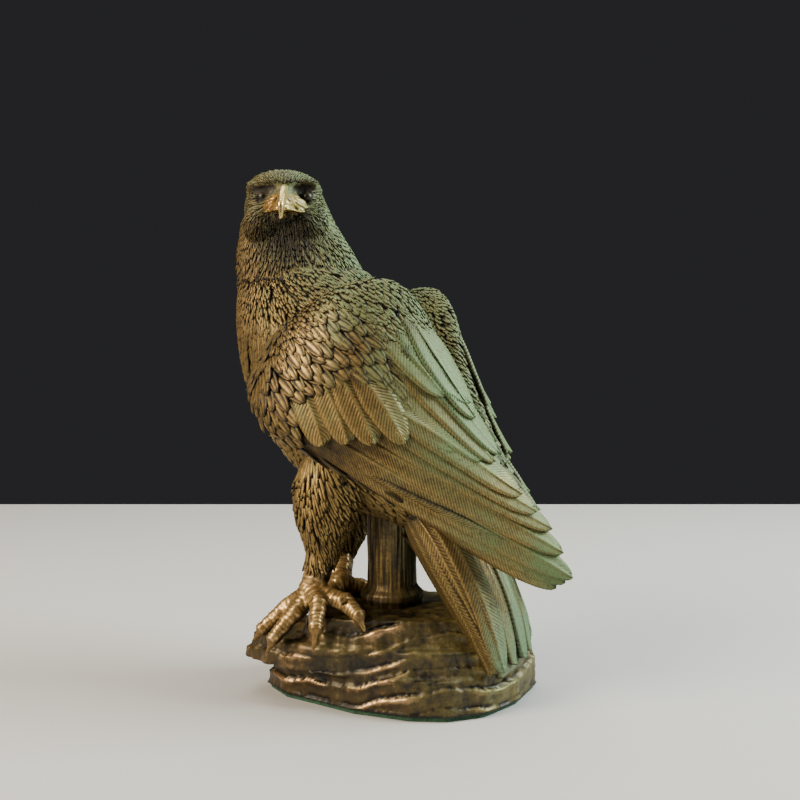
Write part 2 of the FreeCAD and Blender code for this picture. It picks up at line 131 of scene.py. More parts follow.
def step(low, high, value):
    """0 at low and beyond, 1 at high and beyond, and smooth between."""
    x = min(max((value - low) / (high - low), 0.0), 1.0)
    return x * x * (3.0 - 2.0 * x)


def bronze(name, recess, body, raised, green, green_share, polish,
           middle_x=-0.016, side_gain=30.0, high_gain=20.0):
    """Patinated bronze: dark in the recesses, rubbed on the raised parts, green in patches on what stands
    proud.

    The green grows towards +X of middle_x, by side_gain per metre, as painted cool light from the right lamp,
    and with height by high_gain per metre.
    """
    material = bpy.data.materials.new(name)
    material.use_nodes = True
    nodes, links = material.node_tree.nodes, material.node_tree.links
    shader = nodes["Principled BSDF"]

    def node(kind, **settings):
        made = nodes.new(kind)
        for key, value in settings.items():
            setattr(made, key, value)
        return made

    def maths(operation, a, b=None, clamp=False):
        made = node("ShaderNodeMath", operation=operation, use_clamp=clamp)
        for socket, value in zip(made.inputs, (a, b)):
            if value is None:
                continue
            if isinstance(value, float):
                socket.default_value = value
            else:
                links.new(value, socket)
        return made.outputs[0]

    def blend(factor, a, b):
        made = node("ShaderNodeMix", data_type="RGBA")
        for socket, value in ((made.inputs[0], factor), (made.inputs[6], a), (made.inputs[7], b)):
            if isinstance(value, tuple):
                socket.default_value = (*value, 1.0)
            else:
                links.new(value, socket)
        return made.outputs[2]

    place = node("ShaderNodeTexCoord").outputs["Object"]
    axes = node("ShaderNodeSeparateXYZ")
    links.new(place, axes.inputs[0])
    facing = node("ShaderNodeSeparateXYZ")
    links.new(node("ShaderNodeNewGeometry").outputs["Normal"], facing.inputs[0])

    def cloud(scale, detail=4.0, rough=0.6):
        made = node("ShaderNodeTexNoise")
        links.new(place, made.inputs["Vector"])
        made.inputs["Scale"].default_value = scale
        made.inputs["Detail"].default_value = detail
        made.inputs["Roughness"].default_value = rough
        return made.outputs["Fac"]

    relief = node("ShaderNodeAttribute", attribute_name="relief").outputs["Fac"]
    tone = node("ShaderNodeAttribute", attribute_name="tone").outputs["Fac"]
    grain = cloud(GRAIN_SCALE)
    speck = cloud(SPECK_SCALE, 3.0, 0.7)
    drift = cloud(DRIFT_SCALE)

    # Height above the recesses, broken up by grain so that the colour never follows it exactly.
    height = maths("ADD", relief, maths("MULTIPLY", maths("SUBTRACT", grain, 0.5), 0.80), clamp=True)
    ramp = node("ShaderNodeValToRGB")
    ramp.color_ramp.elements[0].position = 0.10
    ramp.color_ramp.elements[0].color = (*recess, 1.0)
    ramp.color_ramp.elements[1].position = 0.92
    ramp.color_ramp.elements[1].color = (*raised, 1.0)
    middle = ramp.color_ramp.elements.new(0.45)
    middle.color = (*body, 1.0)
    links.new(height, ramp.inputs[0])

    # Green lies in random patches, more on what faces up, and only on what stands proud. Its growth towards
    # the tail's side (+X) and onto faces turned to +X is painted cool light from the right lamp.
    side = maths("MULTIPLY", maths("SUBTRACT", axes.outputs["X"], middle_x), side_gain)
    side = maths("ADD", side, maths("MULTIPLY", maths("SUBTRACT", axes.outputs["Z"], 0.06), high_gain))
    up = maths("MULTIPLY", facing.outputs["Z"], 0.30)
    # Faces turned to +X, towards the cool right lamp, take more green: painted cool light.
    painted_cool_light = maths("MULTIPLY", facing.outputs["X"], 0.28)
    patch = maths("MULTIPLY", maths("SUBTRACT", drift, 0.5), 2.2)
    spread = maths("ADD", maths("ADD", side, up), maths("ADD", painted_cool_light, patch))
    spread = maths("ADD", spread, maths("MULTIPLY", maths("SUBTRACT", tone, 0.5), 0.5))
    green_and_cool_light = maths("ADD", spread, green_share, clamp=True)
    proud = maths("MULTIPLY", maths("SUBTRACT", height, 0.08, clamp=True), 1.55, clamp=True)
    green_and_cool_light = maths("MULTIPLY", green_and_cool_light, proud)
    greens = blend(cloud(320.0), green, (green[0] * 0.55, green[1] * 0.80, green[2] * 1.05))
    colour = blend(green_and_cool_light, ramp.outputs[0], greens)
    pitted = maths("MULTIPLY", maths("SUBTRACT", speck, 0.51, clamp=True), 3.6, clamp=True)
    colour = blend(pitted, colour, tuple(c * 0.35 for c in body))
    links.new(colour, shader.inputs["Base Color"])

    rub = maths("SUBTRACT", height, maths("MULTIPLY", green_and_cool_light, 0.7), clamp=True)
    links.new(maths("ADD", 0.25, maths("MULTIPLY", rub, 0.65), clamp=True), shader.inputs["Metallic"])
    gloss = maths("SUBTRACT", 0.66 - polish, maths("MULTIPLY", rub, 0.22))
    links.new(maths("ADD", gloss, maths("MULTIPLY", grain, 0.12)), shader.inputs["Roughness"])

    # The pitted skin of the casting.
    bump = node("ShaderNodeBump")
    bump.inputs["Strength"].default_value = 0.35
    bump.inputs["Distance"].default_value = PIT_DEPTH
    links.new(maths("ADD", grain, maths("MULTIPLY", speck, 0.6)), bump.inputs["Height"])
    links.new(bump.outputs[0], shader.inputs["Normal"])
    return material


plumage_bronze = bronze("plumage_bronze", (0.009, 0.006, 0.002), (0.108, 0.067, 0.018), (0.320, 0.222, 0.078),
                        (0.140, 0.200, 0.074), 0.04, 0.08)


def castings(*nodes):
    """Copies of some castings in one bmesh, in millimetres."""
    bm = bmesh.new()
    for node in nodes:
        bm.from_mesh(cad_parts[node].data)
    bmesh.ops.scale(bm, vec=(1.0 / MM,) * 3, verts=bm.verts)
    bmesh.ops.remove_doubles(bm, verts=bm.verts, dist=MERGE_WITHIN)
    return bm


def bed_of(*nodes, voxel=0.6):
    """One smooth closed skin round some castings for feathers to lie on."""
    return remeshed(castings(*nodes), voxel)


def remeshed(bm, voxel, smoothing=3):
    """The outer skin of everything in bm, as a new even bmesh. The old one is freed."""
    mesh = bpy.data.meshes.new("remesh")
    bm.to_mesh(mesh)
    bm.free()
    holder = bpy.data.objects.new("remesh", mesh)
    bpy.context.scene.collection.objects.link(holder)
    modifier = holder.modifiers.new("remesh", "REMESH")
    modifier.mode = "VOXEL"
    modifier.voxel_size = voxel
    smooth = holder.modifiers.new("smooth", "SMOOTH")
    smooth.factor = 0.5
    smooth.iterations = smoothing
    done = bpy.data.meshes.new_from_object(holder.evaluated_get(bpy.context.evaluated_depsgraph_get()))
    bpy.data.objects.remove(holder)
    made = bmesh.new()
    made.from_mesh(done)
    return made


def place_piece(name, bm, material, node_name=None):
    """Turns a bmesh in millimetres into a finished piece that rides on the statuette."""
    bmesh.ops.scale(bm, vec=(MM,) * 3, verts=bm.verts)
    mesh = bpy.data.meshes.new(name)
    bm.to_mesh(mesh)
    bm.free()
    finish_piece(name, mesh, material, node_name)


def finish_piece(name, mesh, material, node_name=None):
    """Gives a mesh its material and an object, in place of a casting where node_name is given."""
    for key in ("relief", "tone"):
        if key not in mesh.attributes:
            values = mesh.attributes.new(key, "FLOAT", "POINT").data
            values.foreach_set("value", [0.5] * len(mesh.vertices))
    mesh.polygons.foreach_set("use_smooth", [True] * len(mesh.polygons))
    mesh.materials.clear()
    mesh.materials.append(material)
    piece = bpy.data.objects.new(name, mesh)
    bpy.context.scene.collection.objects.link(piece)
    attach(piece, "root")
    if node_name is not None:
        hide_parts(node_name)


def shrunk_casting(name, depth, material, shade=0.15):
    """The casting's own skin, let in by the thickness of the feathers that stand on it."""
    bm = castings(name)
    bm.normal_update()
    relief = bm.verts.layers.float.new("relief")
    for vert in bm.verts:
        vert.co -= vert.normal * depth
        vert[relief] = shade
    place_piece(name + "_casting", bm, material, name)


torso_bed = bed_of("torso", "head", "left_wing", "right_wing", "core_plugs")


def shingle(columns, rows, point, camber, shaft, thick, ridges=0.0):
    """One small cast feather, a unit wide and long, with its root at the origin and its tip along +Y.

    Ridges run beside the shaft from root to tip, one on every other column.
    """
    bm = bmesh.new()
    bmesh.ops.create_grid(bm, x_segments=columns, y_segments=rows, size=1.0)
    relief = bm.verts.layers.float.new("relief")
    for vert in bm.verts:
        column = round((vert.co.x + 1.0) / 2.0 * columns)
        row = round((vert.co.y + 1.0) / 2.0 * rows)
        across = math.copysign(abs(vert.co.x) ** 0.6, vert.co.x)
        along = (row / rows) ** 0.8
        width = 0.5 * math.sqrt(max(1.0 - along ** point, 0.0)) * (0.75 + 0.25 * step(0.0, 0.5, along))
        spine = 1.0 if column == columns // 2 else 0.0
        ridge = 1.0 if (column - columns // 2) % 2 == 0 else -1.0
        rim = column in (0, columns) or row in (0, rows)
        rise = camber * (1.0 - across ** 2) * along + shaft * spine + ridges * ridge
        slant = 0.30 * abs(across) * along * (1.0 - along)
        vert.co = (across * width, along + slant, rise - (thick if rim else 0.0))
        crest = 0.24 + 0.30 * along ** 2 + 0.35 * spine + (0.30 * ridge if ridges else 0.0)
        vert[relief] = 0.12 * along if rim else min(max(crest, 0.0), 1.0)
    bmesh.ops.contextual_create(bm, geom=[e for e in bm.edges if e.is_boundary])
    mesh = bpy.data.meshes.new("shingle")
    bm.to_mesh(mesh)
    bm.free()
    return mesh


def strew(name, shape, placed, material):
    """One piece made of many placed copies of a shape: rows of (matrix, tone, gain on the relief)."""
    count = len(shape.vertices)
    points = np.empty(count * 3)
    shape.vertices.foreach_get("co", points)
    points = np.c_[points.reshape(-1, 3), np.ones(count)]
    mats = np.array([np.array(matrix) for matrix, _, _ in placed])
    spots = np.einsum("nij,kj->nki", mats, points)[..., :3].reshape(-1, 3) * MM
    loops = np.empty(len(shape.loops), dtype=np.int64)
    shape.loops.foreach_get("vertex_index", loops)
    starts = np.empty(len(shape.polygons), dtype=np.int64)
    totals = np.empty(len(shape.polygons), dtype=np.int64)
    shape.polygons.foreach_get("loop_start", starts)
    shape.polygons.foreach_get("loop_total", totals)
    copies = np.arange(len(placed))[:, None]
    mesh = bpy.data.meshes.new(name)
    mesh.vertices.add(len(spots))
    mesh.vertices.foreach_set("co", spots.ravel())
    mesh.loops.add(len(loops) * len(placed))
    mesh.loops.foreach_set("vertex_index", (loops[None] + copies * count).ravel())
    mesh.polygons.add(len(starts) * len(placed))
    mesh.polygons.foreach_set("loop_start", (starts[None] + copies * len(loops)).ravel())
    mesh.polygons.foreach_set("loop_total", np.tile(totals, len(placed)))
    mesh.update(calc_edges=True)
    values = np.empty(count)
    shape.attributes["relief"].data.foreach_get("value", values)
    reliefs = np.outer([relief_gain for _, _, relief_gain in placed], values).ravel()
    mesh.attributes.new("relief", "FLOAT", "POINT").data.foreach_set("value", reliefs)
    tones = np.repeat([tone for _, tone, _ in placed], count)
    mesh.attributes.new("tone", "FLOAT", "POINT").data.foreach_set("value", tones)
    finish_piece(name, mesh, material)


def scatter(bed, size_at, seed, spacing, tries):
    """Evenly spread points over a skin: (point, normal, size), where size_at gives a width or None."""
    rng = np.random.default_rng(seed)
    bed.faces.ensure_lookup_table()
    areas = np.array([face.calc_area() for face in bed.faces])
    picks = rng.choice(len(areas), size=tries, p=areas / areas.sum())
    found, cells = [], {}
    for pick in picks:
        face = bed.faces[pick]
        weights = rng.random(3) ** 0.7
        weights /= weights.sum()
        point = sum((face.verts[i].co * weights[i] for i in range(3)), Vector())
        width = size_at(BIRD_BACK @ point, BIRD_BACK.to_3x3() @ face.normal)
        if width is None:
            continue
        gap = width * spacing
        cell = tuple(int(math.floor(c / SEARCH_CELL)) for c in point)
        near = [cells.get((cell[0] + i, cell[1] + j, cell[2] + k), ())
                for i in (-1, 0, 1) for j in (-1, 0, 1) for k in (-1, 0, 1)]
        if any((point - other).length < gap for group in near for other in group):
            continue
        cells.setdefault(cell, []).append(point)
        found.append((point, face.normal.copy(), width))
    return found


def oriented(point, normal, flow, width, length, tilt, rng):
    """A placing matrix: +Y of the shape along the flow, +Z out of the skin, its tip lifted by the tilt."""
    along = (flow - normal * flow.dot(normal)).normalized()
    across = along.cross(normal).normalized()
    turn = Matrix.Rotation(rng.uniform(-STRAY_TURN, STRAY_TURN), 3, normal)
    lean = Matrix.Rotation(tilt, 3, across)
    columns = [turn @ (lean @ axis) for axis in (across, along, normal)]
    made = Matrix.Identity(4)
    for i, (axis, scale) in enumerate(zip(columns, (width, length, width * FEATHER_RISE))):
        made.col[i] = (*(axis * scale), 0.0)
    made.col[3] = (*(point - along * length * ROOT_SHARE), 1.0)
    return made


def body_flow(point):
    """The lie of the feathers: down the breast, and back along the mantle and the wings."""
    back = step(-24.0, -4.0, point.x)
    return Vector((mix(0.15, 0.85, back), 0.0, mix(-1.0, -0.72, back)))


def wing_edge(x):
    """Height of the line on the wing's side below which the long feathers begin."""
    return mix(56.0, 66.0, step(-16.0, 2.0, x)) - 1.15 * max(x - 4.0, 0.0)


def body_feather_width(point, normal):
    """Fine at the neck, broad on the breast and over the roots of the long feathers."""
    if point.z > NECK_LINE or point.z < BELLY_LINE:
        return None
    below = wing_edge(point.x) - point.z
    if below > 5.0 and abs(normal.y) > 0.4 and point.x > -6.0:
        return None
    near_edge = 1.0 - step(0.0, 14.0, -below)
    breast = (1.0 - step(62.0, 76.0, point.z)) * (1.0 - step(-14.0, 0.0, point.x))
    return mix(FINEST, BROADEST, max(near_edge, breast) ** 1.3)


def scale_width(point, normal):
    """The small feathers, wherever the body's feathers are narrow."""
    width = body_feather_width(point, normal)
    return width if width is not None and width < SCALES_BELOW else None


def leaf_width(on_side):
    """The broad feathers of one side of the body. They overlap the small ones at their border."""
    def width_at(point, normal):
        width = body_feather_width(point, normal)
        return width if width is not None and width > LEAVES_ABOVE and on_side(point.y) else None
    return width_at


def feathers_over(name, bed, size_at, flow_at, shape, seed, aspect, spacing, tilt, tries=40000, relief_gain_at=None):
    """Covers part of a skin with feathers. Spacing is in feather widths, and the last argument gives a gain
    on their relief, which on the neck carries painted shade and a painted highlight.
    """
    rng = random.Random(seed)
    placed = []
    for point, normal, width in scatter(bed, size_at, seed, spacing, tries):
        here = BIRD_BACK @ point
        wide = width * rng.uniform(1.0, 1.25)
        long = width * aspect * rng.uniform(0.9, 1.2)
        matrix = oriented(point, normal, BIRD.to_3x3() @ flow_at(here), wide, long, tilt, rng)
        relief_gain = relief_gain_at(here) if relief_gain_at else 1.0
        placed.append((matrix, rng.random(), relief_gain * rng.uniform(0.85, 1.1)))
    strew(name, shape, placed, plumage_bronze)


shrunk_casting("torso", 0.25, plumage_bronze, shade=0.35)
shrunk_casting("core_plugs", 0.6, plumage_bronze, shade=0.35)
scale_shape = shingle(2, 4, 2.6, 0.06, 0.14, 0.10)
leaf_shape = shingle(8, 5, 2.4, 0.03, 0.05, 0.13, ridges=0.034)
feathers_over("fine_feathers", torso_bed, scale_width, body_flow, scale_shape,
              seed=11, aspect=2.1, spacing=0.53, tilt=0.09)
feathers_over("left_leaf_feathers", torso_bed, leaf_width(lambda y: y < 0.0), body_flow, leaf_shape,
              seed=12, aspect=2.0, spacing=0.56, tilt=0.13)
feathers_over("right_leaf_feathers", torso_bed, leaf_width(lambda y: y >= 0.0), body_flow, leaf_shape,
              seed=13, aspect=2.0, spacing=0.56, tilt=0.13)

# --- Wings ----------------------------------------------------------------------------------
# Each folded wing is its own casting, doweled to the torso. Long flight feathers with raised
# shafts and ribbed vanes lie over each other, the upper ones on top.
wing_bed = bed_of("left_wing", "torso")
wing_tree = BVHTree.FromBMesh(wing_bed)
SPINE_STEPS = 14
VANE_COLUMNS = (-1.0, -1.0, -0.72, -0.42, -0.13, 0.0, 0.13, 0.42, 0.72, 1.0, 1.0)
RIB_SLANT = 0.95


def along_path(points, share):
    """A place along a chain of points, by share of their number."""
    at = min(share * (len(points) - 1), len(points) - 1 - 1e-6)
    return points[int(at)].lerp(points[int(at) + 1], at - int(at))


def feather_outline(share, blunt):
    """Half width of a feather along its length, as a share of its widest."""
    return (0.62 + 0.38 * step(0.0, 0.45, share)) * math.sqrt(max(1.0 - share ** blunt, 0.0))


def long_feather(tree, root, tip, half_width, free=0.0, bow=0.0, lift=(0.1, 0.9), cross_tilt=0.25,
                 blunt=6.0, rib_pitch=0.62, rib=0.085, thick=0.8, tone=0.5, path=None):
    """A flight feather laid on a skin from root to tip. Its ribs slant outwards to the tip.

    The part past the share 1 - free stands clear of the skin. Bow bends it sideways, lift is its
    height over the skin at root and tip, and cross_tilt raises its lower vane. A path of points
    outside the skin takes the place of the straight line from root to tip.
    """
    length = (tip - root).length
    rows = int(length / rib_pitch) * 2
    spine, ups = [], []
    axis = (tip - root).normalized()
    for i in range(SPINE_STEPS + 1):
        share = i / SPINE_STEPS
        guess = root.lerp(tip, share) if path is None else along_path(path, share)
        if share <= 1.0 - free or i == 0:
            spot, up, _, _ = tree.find_nearest(guess)
            offset = spot - guess
        else:
            up = ups[-1]
            spot = guess + offset
        spine.append(spot)
        ups.append(up.copy())
    for _ in range(3):
        ups = [ups[max(i - 1, 0)] + ups[i] + ups[min(i + 1, SPINE_STEPS)] for i in range(SPINE_STEPS + 1)]
        ups = [up.normalized() for up in ups]
        inner = [(spine[i - 1] + spine[i] * 2.0 + spine[i + 1]) / 4.0 for i in range(1, SPINE_STEPS)]
        spine[1:SPINE_STEPS] = inner

    bm = bmesh.new()
    bmesh.ops.create_grid(bm, x_segments=len(VANE_COLUMNS) - 1, y_segments=rows, size=1.0)
    relief = bm.verts.layers.float.new("relief")
    tones = bm.verts.layers.float.new("tone")
    slant = half_width * RIB_SLANT
    for vert in bm.verts:
        column = round((vert.co.x + 1.0) / 2.0 * (len(VANE_COLUMNS) - 1))
        row = round((vert.co.y + 1.0) / 2.0 * rows)
        across = VANE_COLUMNS[column]
        skirt = column in (0, len(VANE_COLUMNS) - 1)
        run = -slant + (row / rows) * (length + slant) + abs(across) * slant
        share = min(max(run / length, 0.0), 1.0)
        at = min(share * SPINE_STEPS, SPINE_STEPS - 1e-6)
        i = int(at)
        centre = spine[i].lerp(spine[i + 1], at - i)
        up = ups[i].lerp(ups[i + 1], at - i).normalized()
        side = up.cross(axis).normalized()
        wide = half_width * feather_outline(share, blunt)
        centre = centre + side * bow * math.sin(math.pi * share)
        ribbed = rib * (1.0 if row % 2 else -1.0) * (0.0 if abs(across) < 0.2 else 1.0)
        height = mix(lift[0], lift[1], share) - cross_tilt * across
        height += 0.30 * (1.0 - across ** 2) + (0.22 if across == 0.0 else 0.0) + ribbed
        if skirt:
            height -= thick
        elif row == 0:
            height -= thick * 0.5
        vert.co = centre + side * wide * across + up * height
        crest = 0.48 + 0.32 * (1.0 if row % 2 else -0.9) + (0.5 if across == 0.0 else 0.0)
        crest += 0.25 * step(0.55, 1.0, abs(across)) * (across < 0.0) + 0.15 * share
        vert[relief] = 0.02 if skirt else min(max(crest * (0.35 + 0.65 * step(0.0, 0.3, share)), 0.0), 1.0)
        vert[tones] = tone
    bmesh.ops.remove_doubles(bm, verts=bm.verts, dist=0.004)
    bmesh.ops.contextual_create(bm, geom=[e for e in bm.edges if e.is_boundary])
    return bm


def gather(bm, other, turn=None):
    """Adds another bmesh to bm, turned if asked, and frees it."""
    if turn is not None:
        bmesh.ops.transform(other, matrix=turn, verts=other.verts)
        if turn.to_3x3().determinant() < 0.0:
            bmesh.ops.reverse_faces(other, faces=other.faces)
    mesh = bpy.data.meshes.new("part")
    other.to_mesh(mesh)
    other.free()
    bm.from_mesh(mesh)
    bpy.data.meshes.remove(mesh)


def between(points, share):
    """A place along a chain of (x, z) corners, by share of their number."""
    at = min(share * (len(points) - 1), len(points) - 1 - 1e-6)
    i = int(at)
    (x0, z0), (x1, z1) = points[i], points[i + 1]
    return mix(x0, x1, at - i), mix(z0, z1, at - i)


# Long feathers of the left wing: roots and tips as (x, z) chains, then count, half width, free share,
# height at root and tip, and bluntness. Listed from the lowest layer to the top one. Each feather lies
# a little higher than the one before it.
LAYER_RISE = 0.16
WING_ROWS = {
    "primaries": ([(-5.0, 49.5), (0.0, 51.0), (5.0, 54.0), (9.0, 57.0)],
                  [(38.6, 23.4), (41.2, 24.8), (37.8, 33.6), (32.4, 39.8)],
                  7, 3.1, 0.10, (-0.2, 0.6), 7.0),
    "greater_coverts": ([(-10.0, 57.0), (-3.0, 60.5), (1.0, 62.0), (5.2, 62.5)],
                        [(-4.6, 47.6), (1.6, 49.6), (7.0, 49.2), (13.3, 49.2)],
                        5, 3.3, 0.0, (-0.5, 1.3), 4.0),
    "tertials": ([(7.0, 62.0), (10.0, 64.0), (13.0, 67.0)],
                 [(21.0, 47.6), (27.0, 44.6), (29.4, 47.6)],
                 4, 3.0, 0.03, (-0.4, 1.2), 5.0),
    "scapulars": ([(9.0, 71.0), (13.0, 72.5)],
                  [(18.5, 57.4), (25.0, 54.0)],
                  3, 3.6, 0.0, (-0.7, 1.4), 4.0),
}
WING_HINGE = Matrix.Translation((14, 0, 60))
RIGHT_WING_PITCH = math.radians(4.0)
SWING = WING_HINGE @ Matrix.Rotation(RIGHT_WING_PITCH, 4, "Y") @ WING_HINGE.inverted()
OTHER_SIDE = BIRD @ Matrix.Scale(-1.0, 4, (0, 1, 0)) @ SWING @ BIRD_BACK


def on_wing(x, z):
    """The wing's outer skin beside a point of the bird's middle plane."""
    hit = wing_tree.ray_cast(bird(x, -60.0, z), BIRD.to_3x3() @ Vector((0, 1, 0)))[0]
    return hit if hit is not None else bird(x, -4.0 - 0.32 * max(40.0 - x, 0.0), z)


rng = random.Random(5)
left_feathers, right_feathers = bmesh.new(), bmesh.new()
for roots, tips, count, half_width, free, lift, blunt in WING_ROWS.values():
    for number in range(count):
        share = number / max(count - 1, 1)
        rx, rz = between(roots, share)
        tx, tz = between(tips, share)
        height = (lift[0] + LAYER_RISE * number, lift[1] + LAYER_RISE * number)
        for target, turn in ((left_feathers, None), (right_feathers, OTHER_SIDE)):
            feather = long_feather(wing_tree, on_wing(rx, rz), on_wing(tx, tz),
                                   half_width * rng.uniform(0.95, 1.05), free, bow=0.4, lift=height,
                                   cross_tilt=0.42, blunt=blunt, tone=rng.random())
            gather(target, feather, turn)
place_piece("left_wing_feathers", left_feathers, plumage_bronze)
place_piece("right_wing_feathers", right_feathers, plumage_bronze)
shrunk_casting("left_wing", 0.6, plumage_bronze, shade=0.3)
shrunk_casting("right_wing", 0.6, plumage_bronze, shade=0.3)

# --- Head -----------------------------------------------------------------------------------
# A hollow casting pinned over the neck collar: flat crown, frowning brows over sunken eyes, and a
# hooked beak rubbed bright by handling, with a painted highlight on its ridge and its right half tinted
# green by painted cool light. Hair-fine feathers sweep back and down from the beak.
BEAK_X = -23.1
BEAK_ROOT = Vector((BEAK_X, -1.0, 94.2))
EYES = (Vector((-27.7, 1.3, 96.5)), Vector((-19.0, 1.1, 96.5)))
EYE_CLEAR = 1.9
BROW_TOP, BROW_FOOT = 98.9, 97.0
COLLAR_LINE = 78.5
FACE_FRONT = 3.4


def lump(bm, centre, radii, turn=(0.0, 0.0, 0.0), fine=4):
    """One rounded lump of wax, to be melted into its neighbours by the remesh."""
    place = Matrix.LocRotScale(Vector(centre), Euler([math.radians(a) for a in turn]), Vector(radii))
    bmesh.ops.create_icosphere(bm, subdivisions=fine, radius=1.0, matrix=place)


def bar(bm, points, radii, flat=1.0):
    """A run of lumps along points, with a radius at each point, and its cross section flattened in X."""
    for (a, ra), (b, rb) in zip(zip(points, radii), zip(points[1:], radii[1:])):
        a, b = Vector(a), Vector(b)
        for i in range(9):
            radius = mix(ra, rb, i / 8)
            lump(bm, a.lerp(b, i / 8), (radius * flat, radius, radius), fine=3)


def sculpt(bm, shift_at):
    """Moves each vertex along its normal, and marks its relief: shift_at gives both."""
    bm.normal_update()
    relief = bm.verts.layers.float.new("relief")
    moves = [(vert, shift_at(vert.co, vert.normal)) for vert in bm.verts]
    for vert, (shift, rise) in moves:
        vert.co += vert.normal * shift
        vert[relief] = rise
    bm.normal_update()


head_bm = bmesh.new()
# The neck's cross sections in the bird's frame: x, z, half depth and half width.
NECK_RINGS = [(-14.2, 79.5, 13.5, 12.2), (-16.2, 86.0, 12.0, 10.5), (-17.7, 92.0, 9.7, 9.0),
              (-17.6, 96.5, 7.4, 7.6), (-17.6, 99.0, 4.0, 4.0)]
for (x0, z0, deep0, wide0), (x1, z1, deep1, wide1) in zip(NECK_RINGS, NECK_RINGS[1:]):
    for i in range(7):
        share = i / 6
        lump(head_bm, bird(mix(x0, x1, share), 0.0, mix(z0, z1, share)),
             (mix(deep0, deep1, share), mix(wide0, wide1, share), 3.0), (0.0, 0.0, -20.0))
lump(head_bm, (-24.0, 8.6, 94.6), (8.1, 9.8, 8.0))
lump(head_bm, (-24.0, 6.5, 98.4), (7.4, 7.6, 3.9))
for eye, slope in zip(EYES, (12.0, -12.0)):
    inwards = math.copysign(0.8, slope)
    lump(head_bm, eye + Vector((inwards, 1.2, 2.1)), (2.7, 2.5, 0.80), (-10.0, slope, 0.0))
    lump(head_bm, (BEAK_X - inwards * 2.5, 0.3, 94.6), (3.5, 1.6, 1.9),
         (0.0, -30.0 * inwards, -36.0 * inwards))
    lump(head_bm, eye + Vector((0.0, 2.4, -5.2)), (3.9, 4.6, 4.2))
bar(head_bm, [(BEAK_X, 3.0, 97.6), (BEAK_X, -0.6, 96.2)], [2.6, 1.7])
head_bm = remeshed(head_bm, 0.34, 2)


def face_shape(point, normal):
    """Sunken, darkened eye sockets under sharp brows, a painted highlight on the brows with painted shadow
    under them, fine lines round the beak, and a throat darkened as painted shade under the beak.
    """
    sunk = sum(math.exp(-((point - eye).length / 1.8) ** 2) for eye in EYES)
    front = 1.0 - step(3.0, 6.0, point.y)
    beside = step(1.2, 2.6, abs(point.x - BEAK_X))
    brow = math.exp(-((point.z - 99.1) / 0.6) ** 2) * front
    shadow = math.exp(-((point.z - 97.8) / 0.7) ** 2) * front * beside
    throat = math.exp(-((point - Vector((BEAK_X + 0.5, 0.0, 87.0))).length / 5.0) ** 2)
    fan = math.atan2(point.z - 95.5, point.x - BEAK_X)
    lines = math.sin(fan * 34.0 + 3.0 * noise.noise(point * 0.6)) * front
    # In the colour, the brow term is a painted highlight, and the shadow and throat terms are painted shade.
    rise = 0.42 + 0.40 * brow + 0.14 * lines - 0.45 * throat - 0.55 * sunk - 0.50 * shadow
    return -1.6 * sunk - 0.5 * throat - 0.55 * shadow + 0.05 * lines + 0.25 * brow, max(rise, 0.0)


sculpt(head_bm, face_shape)


def head_flow(point):
    """Away from the beak over the face, and down the neck."""
    here = bird(*point)
    away = (here - BEAK_ROOT).normalized()
    down = Vector((0.10, 0.25, -1.0))
    low = 1.0 - step(86.0, 96.0, here.z)
    return BIRD_BACK.to_3x3() @ away.lerp(down, 0.25 + 0.70 * low)


def strand_width(point, normal):
    """Hair-fine on the head, wider down the neck, and none on the eyes, under the brows or by the beak."""
    here = bird(*point)
    if here.z < COLLAR_LINE or min((here - eye).length for eye in EYES) < EYE_CLEAR:
        return None
    if here.y < FACE_FRONT and BROW_FOOT < here.z < BROW_TOP:
        return None
    if here.y < 2.0 and abs(here.x - BEAK_X) < 4.0 and 92.2 < here.z < BROW_TOP:
        return None
    return mix(0.46, 0.66, 1.0 - step(82.0, 93.0, here.z)) * (0.75 if here.z > BROW_TOP else 1.0)


def neck_shade_and_highlight(point):
    """Gain on the strands' relief: low in the throat, as painted shade under the beak; high on the crown, as
    a painted highlight; and raised towards the tail's side below the crown.
    """
    here = bird(*point)
    throat = math.exp(-((here - Vector((BEAK_X + 0.8, 0.0, 88.6))).length / 6.0) ** 2)
    crown = step(95.0, 99.0, here.z)
    # The throat term is painted shade under the beak, and the crown term is a painted highlight.
    return 0.90 - 0.88 * throat + 0.15 * crown + 0.30 * step(-20.0, -12.0, here.x) * (1.0 - crown)


strand_shape = shingle(2, 3, 3.0, 0.10, 0.26, 0.16)
feathers_over("head_feathers", head_bm, strand_width, head_flow, strand_shape,
              seed=21, aspect=4.2, spacing=0.86, tilt=0.06, tries=50000, relief_gain_at=neck_shade_and_highlight)
place_piece("head_casting", head_bm, plumage_bronze, "head")

# The beak's green grows steeply towards +X of its middle line: painted cool light on its right half.
beak_bronze = bronze("beak_bronze", (0.030, 0.014, 0.004), (0.300, 0.165, 0.036), (0.760, 0.540, 0.230),
                     (0.260, 0.300, 0.075), 0.0, 0.30, BEAK_X * MM, 150.0, 0.0)
beak_bm = bmesh.new()
bar(beak_bm, [(BEAK_X, 1.0, 98.0), (BEAK_X, -2.2, 96.6), (BEAK_X, -4.4, 95.2), (BEAK_X, -5.8, 93.4),
              (BEAK_X, -6.1, 91.2)], [1.2, 1.2, 1.2, 1.0, 0.5], 0.72)
lump(beak_bm, (BEAK_X, -1.6, 94.2), (2.1, 3.2, 2.1))
bar(beak_bm, [(BEAK_X, -3.4, 92.3), (BEAK_X, -0.9, 92.3)], [0.4, 0.6], 1.3)
for side in (-1.0, 1.0):
    lump(beak_bm, (BEAK_X + side * 1.9, -0.2, 94.6), (3.3, 1.5, 1.8), (0.0, side * 24.0, side * 32.0))
    bar(beak_bm, [(BEAK_X + side * 0.8, -4.2, 93.0), (BEAK_X + side * 2.6, -1.7, 92.8),
                  (BEAK_X + side * 4.8, 0.5, 93.0)], [0.5, 0.45, 0.3])
beak_bm = remeshed(beak_bm, 0.20, 4)


